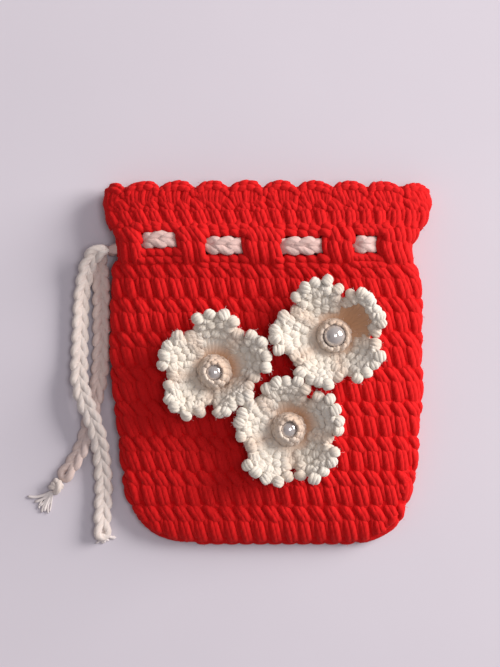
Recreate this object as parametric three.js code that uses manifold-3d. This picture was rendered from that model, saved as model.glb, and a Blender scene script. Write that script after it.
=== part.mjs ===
// Crochet drawstring pouch, lying on its back: a red bag worked in the round, a cream chain drawstring
// woven through its eyelet round, and three cream flowers, each with a pearl bead at its centre.
// Millimetres, +Z up. The bag lies in the XY plane with its mouth towards +Y and its front facing +Z.
// The origin is below the middle of the bag, on the surface that it rests on.
import * as THREE from "three";
import { mergeVertices } from "three/addons/utils/BufferGeometryUtils.js";
import Module from "manifold-3d";

const wasm = await Module();
wasm.setup();

// Driving dimensions of the bag. Its height is the sum of its rounds of stitches.
const mouthWidth = 98.4; // across the flared mouth, the widest place
const bagDepth = 10.6; // front to back at the middle, lying empty
const wall = 2.6; // one layer of double crochet
const bottomRound = 12.1; // first round, with the roll of the closed bottom
const bodyRound = 10.3;
const bodyRounds = 7;
const eyeletRound = 10.8; // the drawstring runs through this one
const topRound = 8.7;
const shellRound = 6; // scalloped edging
const shellCount = 19;
const shellDip = 2.1; // how far the edge drops between two shells
const ribDepth = 0.8; // how far the surface sinks between two rounds
const pressedFlat = 1.02; // over 1, so that the middle of the back is truly flat
const foldShare = 0.38; // height of the side folds, as a share of the depth
const backSquareness = 5;

// Driving dimensions of the drawstring, a flattish crocheted chain.
const cordWidth = 5.6;
const cordThickness = 2.9;
const cordSides = 8;
const wovenSteps = 62;
const tailSteps = 24;
const postLift = 1; // the stitches that pass over the drawstring stand out by this much
const windowSlack = 0.35; // between the drawstring and the stitches round it
const gap = 0.3; // between any two pieces that touch
const knotLength = 5;
const knotWidth = 4.4;
const knotHeight = 3.8;

// Driving dimensions of the flowers and their beads.
const flowerRadius = 16.6;
const flowerCorners = 36;
const notchShare = 0.72; // how far out the pinch between two petals reaches
const notchDrop = 0.42; // how much lower the edge is in that pinch
const petalRise = 8.6; // top of a petal's edge above the bag
const beadRadius = 3.5;

const bagHeight = bottomRound + bodyRound * bodyRounds + eyeletRound + topRound + shellRound;
const bagBottom = -bagHeight / 2;
const halfMouth = mouthWidth / 2;
const eyeletBase = bagBottom + bottomRound + bodyRound * bodyRounds;
const cordLine = eyeletBase + eyeletRound * 0.48;

// Sections of the bag from its closed bottom to its mouth. up is a share of the height, left and right
// are shares of half the mouth's width, deep is a share of the depth, and square is how boxy it is.
const sections = [
  { up: 0.0, left: 0.4, right: 0.5, deep: 0.26, square: 2.6 },
  { up: 0.014, left: 0.56, right: 0.63, deep: 0.44, square: 2.6 },
  { up: 0.036, left: 0.69, right: 0.72, deep: 0.56, square: 2.6 },
  { up: 0.06, left: 0.775, right: 0.8, deep: 0.65, square: 2.7 },
  { up: 0.1, left: 0.83, right: 0.85, deep: 0.75, square: 2.7 },
  { up: 0.145, left: 0.872, right: 0.888, deep: 0.84, square: 2.8 },
  { up: 0.22, left: 0.895, right: 0.915, deep: 0.92, square: 2.8 },
  { up: 0.32, left: 0.92, right: 0.935, deep: 0.98, square: 2.8 },
  { up: 0.42, left: 0.945, right: 0.95, deep: 1.0, square: 2.8 },
  { up: 0.52, left: 0.962, right: 0.945, deep: 1.0, square: 2.8 },
  { up: 0.63, left: 0.965, right: 0.95, deep: 0.99, square: 2.9 },
  { up: 0.72, left: 0.955, right: 0.94, deep: 1.03, square: 3.2 },
  { up: 0.765, left: 0.95, right: 0.905, deep: 1.12, square: 3.6 },
  { up: 0.81, left: 0.935, right: 0.878, deep: 1.22, square: 4 },
  { up: 0.845, left: 0.95, right: 0.912, deep: 1.21, square: 4 },
  { up: 0.89, left: 0.985, right: 0.975, deep: 1.14, square: 3.6 },
  { up: 0.935, left: 1.0, right: 1.0, deep: 1.09, square: 3.3 },
  { up: 0.965, left: 0.985, right: 0.975, deep: 1.06, square: 3.2 },
  { up: 1.0, left: 0.94, right: 0.94, deep: 1.04, square: 3.2 },
];

// Openings in the eyelet round where the drawstring shows. x is a share of half the mouth's width, wide is
// in millimetres and up is how far the drawstring runs above its line there.
const eyelets = [
  { x: -0.65, wide: 11.4, up: 2.1 },
  { x: -0.26, wide: 11.6, up: 0.1 },
  { x: 0.198, wide: 12, up: 0 },
  { x: 0.588, wide: 9.6, up: 0.5 },
];
// The slit in the left side fold where both ends come out.
const slit = { x: -0.94, up: -0.9 };
// Where the drawstring turns inside the right side fold.
const rightTurn = { x: 0.8, up: 0.6 };

// Flowers: x and y are shares of half the mouth's width and of half the bag's height. Each petal has its
// direction in degrees and its reach as a share of the radius. cover is how far the centre ring closes over
// its bead, in degrees above the bead's middle.
const flowers = [
  {
    name: "left",
    x: -0.321,
    y: -0.052,
    cover: 44,
    petals: [
      { towards: 25, reach: 1.06 },
      { towards: 89, reach: 1.15 },
      { towards: 155, reach: 1.06 },
      { towards: 217, reach: 1.04 },
      { towards: 306, reach: 0.73 },
    ],
  },
  {
    name: "right",
    x: 0.398,
    y: 0.144,
    cover: 6,
    petals: [
      { towards: 36, reach: 0.98 },
      { towards: 113, reach: 1.12 },
      { towards: 178, reach: 1.14 },
      { towards: 245, reach: 0.92 },
      { towards: 318, reach: 0.97 },
    ],
  },
  {
    name: "low",
    x: 0.126,
    y: -0.359,
    cover: 44,
    petals: [
      { towards: 19, reach: 1 },
      { towards: 98, reach: 0.93 },
      { towards: 166, reach: 0.92 },
      { towards: 237, reach: 1.08 },
      { towards: 316, reach: 1.07 },
    ],
  },
];

// Routes of the two free ends from where they leave the left side fold, as chosen points.
// Each lies on the surface that the bag rests on, and the front one passes over the back one.
const frontTail = [
  [-47.6, 33.6, 6.9],
  [-49.2, 33.6, 6.8],
  [-51.6, 32.4, 6],
  [-53.6, 29.6, 4.6],
  [-55, 25, 3],
  [-56, 19, 2.1],
  [-56.4, 10, 1.9],
  [-56.6, 1, 2.4],
  [-56.4, -5.4, 4],
  [-55, -11, 5],
  [-52.9, -16, 5.3],
  [-51, -21.4, 4.8],
  [-49.8, -29, 2.6],
  [-49.3, -38, 1.9],
  [-49.7, -46, 1.9],
  [-49.7, -53, 1.9],
];
const backTail = [
  [-47.6, 33.6, 3.4],
  [-49.2, 33.6, 3.4],
  [-50.8, 30.8, 2.6],
  [-50, 24, 1.9],
  [-49.9, 14, 1.7],
  [-49.9, 4, 1.7],
  [-50.7, -5.4, 1.7],
  [-51.9, -11.4, 1.7],
  [-53.4, -17.6, 1.7],
  [-54.9, -23.4, 1.7],
  [-56.8, -27.8, 1.7],
  [-59.3, -31.8, 1.7],
  [-61.7, -35, 1.7],
];

// Slope of a column of the section table at a row, from the rows on either side.
function columnSlope(column, row) {
  const before = sections[Math.max(row - 1, 0)];
  const after = sections[Math.min(row + 1, sections.length - 1)];
  return (after[column] - before[column]) / (after.up - before.up);
}

// Smooth value of a column of the section table at a share of the height.
function sectionValue(column, up) {
  let row = 0;
  while (row < sections.length - 2 && sections[row + 1].up < up) row += 1;
  const [below, above] = [sections[row], sections[row + 1]];
  const span = above.up - below.up;
  const t = Math.min(Math.max((up - below.up) / span, 0), 1);
  const [t2, t3] = [t * t, t * t * t];
  return (
    (2 * t3 - 3 * t2 + 1) * below[column] +
    (t3 - 2 * t2 + t) * span * columnSlope(column, row) +
    (3 * t2 - 2 * t3) * above[column] +
    (t3 - t2) * span * columnSlope(column, row + 1)
  );
}

// Heights above the bottom where one round of stitches ends and the next begins.
const roundEdges = [0, bottomRound];
for (let i = 1; i <= bodyRounds; i += 1) roundEdges.push(bottomRound + i * bodyRound);
roundEdges.push(bagHeight - topRound - shellRound, bagHeight - shellRound, bagHeight);

// How far the surface sinks at a height: nothing in the middle of a round, ribDepth where two meet.
function ribSink(height) {
  const inner = roundEdges.slice(1, -1);
  const nearest = Math.min(...inner.map((edge) => Math.abs(edge - height)));
  const reach = bodyRound / 4;
  return nearest < reach ? ribDepth * (0.5 + 0.5 * Math.cos((Math.PI * nearest) / reach)) : 0;
}

const smooth = (t) => {
  const c = Math.min(Math.max(t, 0), 1);
  return c * c * (3 - 2 * c);
};

// 1 at an eyelet and 0 between two, with a smooth change, for the front and the back alike.
function atEyelet(x) {
  const soft = 2.4;
  const shares = eyelets.map((e) => smooth((e.wide / 2 + soft / 2 - Math.abs(x - e.x * halfMouth)) / soft));
  return Math.max(...shares);
}

// How high up the bag the drawstring runs at a place across it.
function cordHeight(x) {
  const stops = [slit, ...eyelets, rightTurn];
  let i = 0;
  while (i < stops.length - 2 && stops[i + 1].x * halfMouth < x) i += 1;
  const [from, to] = [stops[i], stops[i + 1]];
  const share = smooth((x / halfMouth - from.x) / (to.x - from.x));
  return cordLine + from.up * (1 - share) + to.up * share;
}

// A point of the bag's outer skin, or of its inner one with inset = wall. side is +1 for the front and -1
// for the back, across runs from -1 at the left fold to +1 at the right, and y is the place up the bag.
function bagPoint(side, across, y, inset) {
  const up = (y - bagBottom) / bagHeight;
  const sink = ribSink(y - bagBottom) * (inset > 0 ? 0 : 1);
  const half = (across < 0 ? sectionValue("left", up) : sectionValue("right", up)) * halfMouth;
  const deep = sectionValue("deep", up) * bagDepth;
  const fold = deep * foldShare;
  const x = across * (half - inset - sink * 0.6);
  if (side > 0) {
    const square = sectionValue("square", up);
    const crown = Math.pow(Math.max(1 - Math.pow(Math.abs(across), square), 0), 1 / square);
    const overCord = smooth(1.6 - Math.abs(y - cordHeight(x)) / (cordWidth / 2 + 1.4));
    const lift = postLift * overCord * (1 - atEyelet(x)) * smooth((1 - Math.abs(across)) * 9);
    return [x, y, fold + (deep - fold - inset - sink) * crown + lift];
  }
  const crown = Math.pow(Math.max(1 - Math.pow(Math.abs(across), backSquareness), 0), 1 / backSquareness);
  return [x, y, fold - (fold - inset) * Math.min(pressedFlat * crown, 1)];
}

// Place across the bag for a corner of a ring, spaced more closely towards the folds.
const acrossOf = (t) => 0.8 * t + 0.2 * Math.sin((Math.PI / 2) * t);

// A closed surface from rings of corners, each ring joined to the next. With ends, both ends are
// closed on a middle point, and without, the last ring joins the first.
function ringSolid(rings, ends) {
  const count = rings[0].length;
  const positions = rings.flat(2);
  const faces = [];
  const band = (i, j) => {
    for (let k = 0; k < count; k += 1) {
      const next = (k + 1) % count;
      const [a, b, c, d] = [i * count + k, i * count + next, j * count + k, j * count + next];
      faces.push(a, b, d, a, d, c);
    }
  };
  for (let i = 0; i + 1 < rings.length; i += 1) band(i, i + 1);
  if (!ends) band(rings.length - 1, 0);
  for (const end of ends ? [0, rings.length - 1] : []) {
    const middle = [0, 1, 2].map((axis) => rings[end].reduce((sum, p) => sum + p[axis] / count, 0));
    const centre = positions.length / 3;
    positions.push(...middle);
    for (let k = 0; k < count; k += 1) {
      const pair = [end * count + k, end * count + ((k + 1) % count)];
      if (end === 0) pair.reverse();
      faces.push(centre, ...pair);
    }
  }
  const geometry = new THREE.BufferGeometry();
  geometry.setAttribute("position", new THREE.Float32BufferAttribute(positions, 3));
  geometry.setIndex(faces);
  return geometry;
}

// A three.js geometry as a manifold-3d solid, turned the right way out.
function toSolid(geometry) {
  const bare = geometry.clone();
  bare.deleteAttribute("normal");
  bare.deleteAttribute("uv");
  const merged = mergeVertices(bare, 1e-4);
  const vertProperties = new Float32Array(merged.attributes.position.array);
  const triVerts = new Uint32Array(merged.index.array);
  const solid = new wasm.Manifold(new wasm.Mesh({ numProp: 3, vertProperties, triVerts }));
  if (solid.volume() > 0) return solid;
  return new wasm.Manifold(new wasm.Mesh({ numProp: 3, vertProperties, triVerts: triVerts.reverse() }));
}

// A manifold-3d solid as a three.js geometry.
function toGeometry(solid) {
  const mesh = solid.getMesh();
  const geometry = new THREE.BufferGeometry();
  const corners = [];
  for (let i = 0; i < mesh.vertProperties.length; i += mesh.numProp)
    corners.push(...mesh.vertProperties.slice(i, i + 3));
  geometry.setAttribute("position", new THREE.Float32BufferAttribute(corners, 3));
  geometry.setIndex(Array.from(mesh.triVerts));
  geometry.computeVertexNormals();
  return geometry;
}

// Heights of the rings of corners: two to a round, one in its middle and one where it meets the next.
function ringHeights() {
  const heights = [0, 0.012 * bagHeight, 0.045 * bagHeight, 0.085 * bagHeight];
  for (let i = 1; i < roundEdges.length; i += 1) {
    if (i > 1) heights.push((roundEdges[i - 1] + roundEdges[i]) / 2);
    heights.push(roundEdges[i]);
  }
  return heights;
}

// One ring of corners round the bag at a height, on the outer or the inner skin. Near the mouth the
// ring follows the shells: four corners to a shell, low at the first and high at the third.
function bagRing(height, inset) {
  const count = shellCount * 4;
  const ring = [];
  for (let k = 0; k < count; k += 1) {
    const turn = (k / count) * 4;
    const side = turn < 2 ? 1 : -1;
    const across = acrossOf(side > 0 ? turn - 1 : 3 - turn);
    const shell = Math.abs(Math.sin((Math.PI * (k - count / 4)) / 4));
    const nearEdge = smooth((height - (bagHeight - shellRound)) / shellRound);
    const dip = shellDip * (1 - Math.pow(shell, 0.7)) * nearEdge;
    ring.push(bagPoint(side, across, bagBottom + height - dip, inset));
  }
  return ring;
}

// The opening cut through one wall for the drawstring at an eyelet.
function eyeletCut(eyelet, side) {
  const tall = cordWidth + 2 * windowSlack;
  const cut = new THREE.BoxGeometry(eyelet.wide, tall, bagDepth);
  const skin = bagPoint(side, 0, cordLine, 0)[2];
  const deepest = skin - side * (wall + postLift + 1);
  return cut.translate(eyelet.x * halfMouth, cordLine + eyelet.up, deepest + (side * bagDepth) / 2);
}

function sideSlit() {
  const tall = cordWidth + 2 * windowSlack;
  const cut = new THREE.BoxGeometry(9, tall, 2 * cordThickness + 4 * windowSlack);
  const fold = bagPoint(1, -1, cordLine, 0);
  return cut.translate(fold[0] + 1, cordLine + slit.up, (frontTail[0][2] + backTail[0][2]) / 2);
}

function pouchBody() {
  const heights = ringHeights();
  const outer = heights.map((height) => bagRing(height, 0));
  // The inner skin is smooth, so below the eyelet round it needs only every fourth ring.
  const nearMouth = heights.length - 8;
  const innerHeights = heights.filter((_, i) => i === 2 || (i > 2 && i % (i > nearMouth ? 2 : 4) === 0));
  const inner = innerHeights.reverse().map((height) => bagRing(height, wall));
  let body = toSolid(ringSolid([...outer, ...inner], true));
  for (const eyelet of eyelets)
    for (const side of [1, -1]) body = body.subtract(toSolid(eyeletCut(eyelet, side)));
  body = body.subtract(toSolid(sideSlit()));
  // The stitches make room for the drawstring all along its way.
  return toGeometry(body.subtract(toSolid(cord(wovenRoute(), wovenSteps, gap))));
}

// Middle of the drawstring along the front or the back at a place across the bag: just below the skin at
// an eyelet, and inside the bag between two.
function cordPoint(side, across) {
  const x = bagPoint(side, across, cordLine, wall)[0];
  const y = cordHeight(x);
  const within = bagPoint(side, across, y, wall)[2] - side * (gap + cordThickness / 2);
  const shown = bagPoint(side, across, y, 0)[2] - side * (cordThickness / 2 + 0.25);
  const soft = 4.4;
  const shares = eyelets.map((e) => smooth((e.wide / 2 - Math.abs(x - e.x * halfMouth)) / soft));
  const share = Math.max(...shares);
  return [x, y, shown * share + within * (1 - share)];
}

// Centreline of the woven drawstring: in at the left fold, along the front, round inside the right
// fold, back along the back, and out at the left fold again.
function wovenRoute() {
  const steps = 46;
  const [leftEnd, rightEnd] = [-0.86, 0.83];
  const run = (side) => {
    const line = [];
    for (let i = 0; i <= steps; i += 1)
      line.push(cordPoint(side, leftEnd + ((rightEnd - leftEnd) * i) / steps));
    return line;
  };
  const [front, back] = [run(1), run(-1)];
  const [a, b] = [front[steps], back[steps]];
  const [middle, radius] = [(a[2] + b[2]) / 2, (a[2] - b[2]) / 2];
  const bend = [60, 20, -20, -60].map((degrees) => {
    const angle = THREE.MathUtils.degToRad(degrees);
    return [a[0] + 0.6 + radius * Math.cos(angle), a[1], middle + radius * Math.sin(angle)];
  });
  const straight = 1.2; // so that each end face meets the free end squarely
  const end = (tail) => [0, straight].map((along) => [tail[0][0] + gap + along, cordLine + slit.up, tail[0][2]]);
  return [...end(frontTail), ...front, ...bend, ...back.reverse(), ...end(backTail).reverse()];
}

// A flattish cord along a route, lying with its wide side flat. With room, it is that much thicker all
// round. The section is turned to suit the frame that the extrusion starts with.
function cord(route, steps, room = 0) {
  const path = new THREE.CatmullRomCurve3(route.map((p) => new THREE.Vector3(...p)), false, "centripetal");
  const start = path.computeFrenetFrames(steps, false);
  const thicknessFirst = Math.abs(start.normals[0].z) > Math.abs(start.binormals[0].z);
  const half = [cordThickness / 2 + room, cordWidth / 2 + room];
  if (!thicknessFirst) half.reverse();
  const section = new THREE.Shape();
  for (let i = 0; i < cordSides; i += 1) {
    const angle = (2 * Math.PI * i) / cordSides;
    const corner = [half[0] * Math.cos(angle), half[1] * Math.sin(angle)];
    if (i === 0) section.moveTo(...corner);
    else section.lineTo(...corner);
  }
  section.closePath();
  return new THREE.ExtrudeGeometry(section, { steps, bevelEnabled: false, extrudePath: path });
}

// The knot on the back free end, in line with its last stretch and on the surface that the bag rests on.
function endKnot() {
  const [before, last] = backTail.slice(-2);
  const angle = Math.atan2(last[1] - before[1], last[0] - before[0]);
  const out = gap + knotLength / 2;
  const knot = new THREE.SphereGeometry(0.5, 12, 8).scale(knotLength, knotWidth, knotHeight);
  knot.rotateZ(angle);
  return knot.translate(last[0] + out * Math.cos(angle), last[1] + out * Math.sin(angle), knotHeight / 2 + 0.1);
}

// How the edge of a flower stands at a direction: share is 1 along the middle of a petal and 0 in the
// pinch between two, and reach is the petals' reach there.
function petalAt(flower, degrees) {
  const near = flower.petals
    .map((petal) => ({ reach: petal.reach, away: Math.abs(((degrees - petal.towards + 540) % 360) - 180) }))
    .sort((a, b) => a.away - b.away);
  const both = near[0].away + near[1].away;
  const share = smooth((near[1].away - near[0].away) / (0.62 * both));
  const blend = near[0].away / both;
  return { share, reach: near[0].reach * (1 - blend) + near[1].reach * blend };
}

// Height of the bag's front skin below a place on the flower, without the dips between the rounds.
function frontSkin(x, y) {
  const up = (y - bagBottom) / bagHeight;
  const half = (x < 0 ? sectionValue("left", up) : sectionValue("right", up)) * halfMouth;
  return bagPoint(1, Math.min(Math.max(x / half, -1), 1), y, 0)[2] + ribSink(y - bagBottom);
}

// The section of a flower at one direction, as distance from its middle and height above the bag: up
// inside the centre ring round the bead, over it, out along the petal, and back underneath.
function flowerSection(flower, degrees) {
  const petal = petalAt(flower, degrees);
  const reach = flowerRadius * petal.reach * (notchShare + (1 - notchShare) * petal.share);
  const rise = petalRise * (1 - notchDrop * (1 - petal.share));
  const seat = beadRadius + gap;
  const beadMiddle = gap + beadRadius;
  const cover = THREE.MathUtils.degToRad(flower.cover);
  const [lipRadius, lipHeight] = [seat * Math.cos(cover), beadMiddle + seat * Math.sin(cover)];
  return [
    [seat * 0.8, gap],
    [seat + 0.08, beadMiddle - 0.2],
    [lipRadius + 0.1, lipHeight],
    [lipRadius + 1.1, lipHeight + 0.7],
    [seat + 1.5, lipHeight * 0.72],
    [reach * 0.52, rise * 0.42],
    [reach * 0.74, rise * 0.66],
    [reach * 0.9, rise * 0.96],
    [reach * 0.97, rise],
    [reach, rise * 0.85],
    [reach * 0.94, rise * 0.62],
    [reach * 0.72, rise * 0.3],
    [seat + 1.4, gap],
  ];
}

function flowerSolid(flower) {
  const [middleX, middleY] = [flower.x * halfMouth, (flower.y * bagHeight) / 2];
  const columns = [];
  for (let k = 0; k < flowerCorners; k += 1) {
    const degrees = (360 * k) / flowerCorners;
    const angle = THREE.MathUtils.degToRad(degrees);
    const column = flowerSection(flower, degrees).map(([out, up]) => {
      const [x, y] = [middleX + out * Math.cos(angle), middleY + out * Math.sin(angle)];
      return [x, y, frontSkin(x, y) + up];
    });
    columns.push(column);
  }
  const rings = columns[0].map((_, i) => columns.map((column) => column[i]));
  return toGeometry(toSolid(ringSolid(rings, false)));
}

function beadSolid(flower) {
  const bead = new THREE.SphereGeometry(beadRadius, 12, 8);
  bead.rotateX(Math.PI / 2);
  const [x, y] = [flower.x * halfMouth, (flower.y * bagHeight) / 2];
  return bead.translate(x, y, frontSkin(x, y) + gap + beadRadius);
}

const redYarn = new THREE.MeshStandardMaterial({ color: 0xc8141a, roughness: 0.92, metalness: 0 });
const creamYarn = new THREE.MeshStandardMaterial({ color: 0xe9e2d6, roughness: 0.92, metalness: 0 });
const cordYarn = new THREE.MeshStandardMaterial({ color: 0xe0d8d0, roughness: 0.92, metalness: 0 });
const pearl = new THREE.MeshStandardMaterial({ color: 0xe8e2df, roughness: 0.18, metalness: 0.1 });

const pouch = new THREE.Group();
pouch.name = "crochet_pouch";

function place(name, geometry, material, parent) {
  const mesh = new THREE.Mesh(geometry, material);
  mesh.name = name;
  parent.add(mesh);
}

place("pouch_body", pouchBody(), redYarn, pouch);

const drawstring = new THREE.Group();
place("drawstring", cord(wovenRoute(), wovenSteps), cordYarn, drawstring);
place("drawstring_tail_front", cord(frontTail, tailSteps), cordYarn, drawstring);
place("drawstring_tail_back", cord(backTail, tailSteps), cordYarn, drawstring);
place("drawstring_knot", endKnot(), cordYarn, drawstring);
pouch.add(drawstring);

const bouquet = new THREE.Group();
for (const flower of flowers) {
  place(`flower_${flower.name}`, flowerSolid(flower), creamYarn, bouquet);
  place(`pearl_${flower.name}`, beadSolid(flower), pearl, bouquet);
}
pouch.add(bouquet);

export default pouch;
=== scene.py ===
# %% [markdown]
# # A crocheted drawstring pouch, one strand at a time
# Crochet is one yarn pulled through its own loops, so its surface is made of short plump strands that
# dive in and out of the fabric. This lesson builds a small red pouch from such strands: rounds of double
# crochet, a cream chain cord woven through them, and three cream flowers with a pearl bead each.
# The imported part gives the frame: its solids say where each piece goes, and none of them moves.

# %% Load the frame
import bpy
import numpy as np
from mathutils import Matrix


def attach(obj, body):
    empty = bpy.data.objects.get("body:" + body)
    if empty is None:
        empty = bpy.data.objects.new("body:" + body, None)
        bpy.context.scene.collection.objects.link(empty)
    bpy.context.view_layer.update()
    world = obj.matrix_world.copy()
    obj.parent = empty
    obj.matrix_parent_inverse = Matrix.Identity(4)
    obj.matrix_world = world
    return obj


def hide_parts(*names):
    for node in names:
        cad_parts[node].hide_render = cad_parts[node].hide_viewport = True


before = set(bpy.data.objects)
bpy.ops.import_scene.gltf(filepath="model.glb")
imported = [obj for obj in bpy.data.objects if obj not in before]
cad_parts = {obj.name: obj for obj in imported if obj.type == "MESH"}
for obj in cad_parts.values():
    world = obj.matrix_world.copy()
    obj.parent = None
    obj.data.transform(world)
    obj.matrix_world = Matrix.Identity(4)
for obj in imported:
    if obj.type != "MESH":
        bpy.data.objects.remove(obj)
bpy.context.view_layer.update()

MM = 0.001  # Blender works in metres here, and the shapes below are worked out in millimetres
rng = np.random.default_rng(7)  # hand work is never quite even, and this seed keeps it the same each run
UP = np.array([0.0, 0.0, 1.0])
print("frame:", len(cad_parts), "solids")


def new_object(name, data=None):
    """An object with its data, linked into the scene."""
    thing = bpy.data.objects.new(name, data)
    bpy.context.collection.objects.link(thing)
    return thing

# %% [markdown]
# ## The camera and the light
# The pouch lies on a pale table and the photo is taken from straight above. One pixel of it is 0.30 mm at
# the height of the bag's side folds, and that fixes the lens for a chosen distance. Daylight comes from
# the right, a little from the top, and quite low, so it draws a soft shade on the left of everything.

# %% Camera
PIXEL = 0.30 * MM
VIEW_PIXELS = 500
VIEW_DISTANCE = 600 * MM
FOLD_LEVEL = 4 * MM
VIEW_MIDDLE = (-5.25 * MM, 8.6 * MM)
SENSOR = 36

camera_data = bpy.data.cameras.new("camera")
camera_data.sensor_fit = "HORIZONTAL"
camera_data.sensor_width = SENSOR
camera_data.lens = SENSOR * VIEW_DISTANCE / (VIEW_PIXELS * PIXEL)
camera_data.clip_start = 0.01
camera = new_object("camera", camera_data)
camera.location = (*VIEW_MIDDLE, VIEW_DISTANCE + FOLD_LEVEL)
bpy.context.scene.camera = camera
print("lens:", round(camera_data.lens, 1), "mm")

# %% Lights
centre = new_object("middle_of_the_scene")


def soft_light(name, place, size, power, tint):
    """A square softbox that faces the pouch."""
    data = bpy.data.lights.new(name, "AREA")
    data.size = size
    data.energy = power
    data.color = tint
    light = new_object(name, data)
    light.location = place
    aim = light.constraints.new("TRACK_TO")
    aim.track_axis = "TRACK_NEGATIVE_Z"
    aim.up_axis = "UP_Y"
    aim.target = centre


soft_light("window", (1.34, 0.59, 0.64), 0.92, 41.5, (1.0, 0.975, 0.965))
soft_light("ceiling", (0.17, 0.03, 0.80), 0.26, 1.5, (0.97, 0.96, 1.0))

world = bpy.data.worlds.new("room")
bpy.context.scene.world = world
world.use_nodes = True
background = world.node_tree.nodes["Background"]
background.inputs["Color"].default_value = (0.82, 0.78, 0.84, 1)
background.inputs["Strength"].default_value = 0.35
bpy.context.scene.view_settings.view_transform = "Standard"  # keeps the reds strong

# %% [markdown]
# ## Helpers for materials
# Hex colours are what a colour picker shows, so one function turns them into the linear values that the
# shaders use. A second one adds a node with its settings and its links, and the others are short names
# for the nodes that every material here has.

# %% Material helpers
def linear(hex_colour):
    """sRGB hex to linear: the part above 0.04045 is ((c + 0.055) / 1.055) to the power 2.4."""
    c = np.array([int(hex_colour[i:i + 2], 16) for i in (1, 3, 5)]) / 255
    return (*np.where(c <= 0.04045, c / 12.92, ((c + 0.055) / 1.055) ** 2.4), 1.0)


def add(tree, kind, inputs=None, **settings):
    """A new node with its settings. An input takes a value, or the output of another node as a link."""
    node = tree.nodes.new(kind)
    for name, value in settings.items():
        setattr(node, name, value)
    for name, value in (inputs or {}).items():
        if isinstance(value, bpy.types.NodeSocket):
            tree.links.new(value, node.inputs[name])
        else:
            node.inputs[name].default_value = value
    return node


def new_material(name):
    """An empty node material, and the tree to add to."""
    material = bpy.data.materials.new(name)
    material.use_nodes = True
    material.node_tree.nodes.clear()
    return material, material.node_tree


def maths(tree, operation, *values):
    """The result of one operation on numbers or outputs."""
    return add(tree, "ShaderNodeMath", dict(enumerate(values)), operation=operation).outputs[0]


def blend(tree, factor, a, b, kind="FLOAT"):
    """A mix of a and b, which are numbers, or colours where kind is RGBA."""
    return add(tree, "ShaderNodeMix", {"Factor": factor, "A": a, "B": b}, data_type=kind).outputs["Result"]


def noise(tree, place, size, detail, roughness=0.5):
    """Soft noise from 0 to 1 whose spots are about so large."""
    return add(tree, "ShaderNodeTexNoise", {"Vector": place, "Scale": 1 / size, "Detail": detail,
                                            "Roughness": roughness}).outputs["Fac"]


def finished(material, tree, inputs, kind="ShaderNodeBsdfPrincipled"):
    """The material, with a surface of these inputs on its output."""
    surface = add(tree, kind, inputs)
    add(tree, "ShaderNodeOutputMaterial", {"Surface": surface.outputs["BSDF"]})
    return material

# %% [markdown]
# ## Spun yarn
# Medium acrylic yarn is four soft plies twisted together. Each ply shows as a slanting ridge, and loose
# fibres blur the surface and catch light at a grazing angle. The mesh of a strand is only a smooth tube,
# so the plies come from its own UV map: U is the distance along the yarn in millimetres and V the turn
# round it. Their sum in the right measure is constant along one ply, and a sine of it is the ridge.

# %% Yarn material
PLIES = 4
PLY_TURN = 9.0  # mm of yarn for a full turn of its plies


def yarn_material(name, light, dark, glow, ridge=0.26 * MM, painted_shade_tint=None):
    """Twisted soft yarn. light and dark are colours painted on the tops of the plies and in the lines
    between them, as painted shade and light of the grooves.
    """
    material, tree = new_material(name)
    uv = add(tree, "ShaderNodeUVMap", uv_map="yarn").outputs["UV"]
    split = add(tree, "ShaderNodeSeparateXYZ", {"Vector": uv}).outputs
    along = maths(tree, "MULTIPLY", split["X"], PLIES / PLY_TURN)
    ply = maths(tree, "ADD", along, maths(tree, "MULTIPLY", split["Y"], PLIES))
    wave = maths(tree, "SINE", maths(tree, "MULTIPLY", ply, 2 * np.pi))
    plies = add(tree, "ShaderNodeMapRange", {"Value": wave, "From Min": -1.0, "From Max": 1.0})
    # Fibres lie along the plies: the noise is fine across them and slow along the yarn.
    unrolled = add(tree, "ShaderNodeCombineXYZ", {"X": ply, "Y": split["X"]}).outputs[0]
    stretched = add(tree, "ShaderNodeVectorMath", {0: unrolled, 1: (7.0, 0.7, 1.0)}, operation="MULTIPLY")
    relief = blend(tree, 0.42, plies.outputs["Result"], noise(tree, stretched.outputs[0], 1.0, 3.0, 0.6))
    # Short loose fibres stand up in all directions.
    place = add(tree, "ShaderNodeTexCoord").outputs["Object"]
    height = blend(tree, 0.4, relief, noise(tree, place, 0.5 * MM, 4.0, 0.7))
    bump = add(tree, "ShaderNodeBump", {"Height": height, "Distance": ridge, "Strength": 0.75})
    # The colour goes from dark in the lines between the plies to light on their tops, a painted shade of
    # the grooves, and the dye takes a little unevenly, over lengths of some stitches.
    shade = maths(tree, "MULTIPLY_ADD", height, noise(tree, place, 9 * MM, 2.0), 0.22)
    colour = blend(tree, shade, linear(dark), linear(light), "RGBA")
    if painted_shade_tint:
        # Painted shade and bounce light: where the depth attribute is high, deep in a cup or close to the
        # red bag, the colour turns to a warm tint for the shade there and for light that bounces from yarn
        # to yarn and takes on its colour.
        depth = add(tree, "ShaderNodeAttribute", attribute_name="depth")
        colour = blend(tree, depth.outputs["Fac"], colour, linear(painted_shade_tint), "RGBA")
    return finished(material, tree, {
        "Base Color": colour, "Roughness": 0.88, "Specular IOR Level": 0.25, "Sheen Weight": 0.28,
        "Sheen Roughness": 0.6, "Sheen Tint": linear(glow), "Normal": bump.outputs["Normal"]})


# Each yarn's second colour is painted in the lines between its plies as painted shade; in the red it is
# redder and a little brighter, a painted light that lifts them.
red_yarn = yarn_material("spun_acrylic_red", "#c40d10", "#c8080a", "#ff4036")
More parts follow.
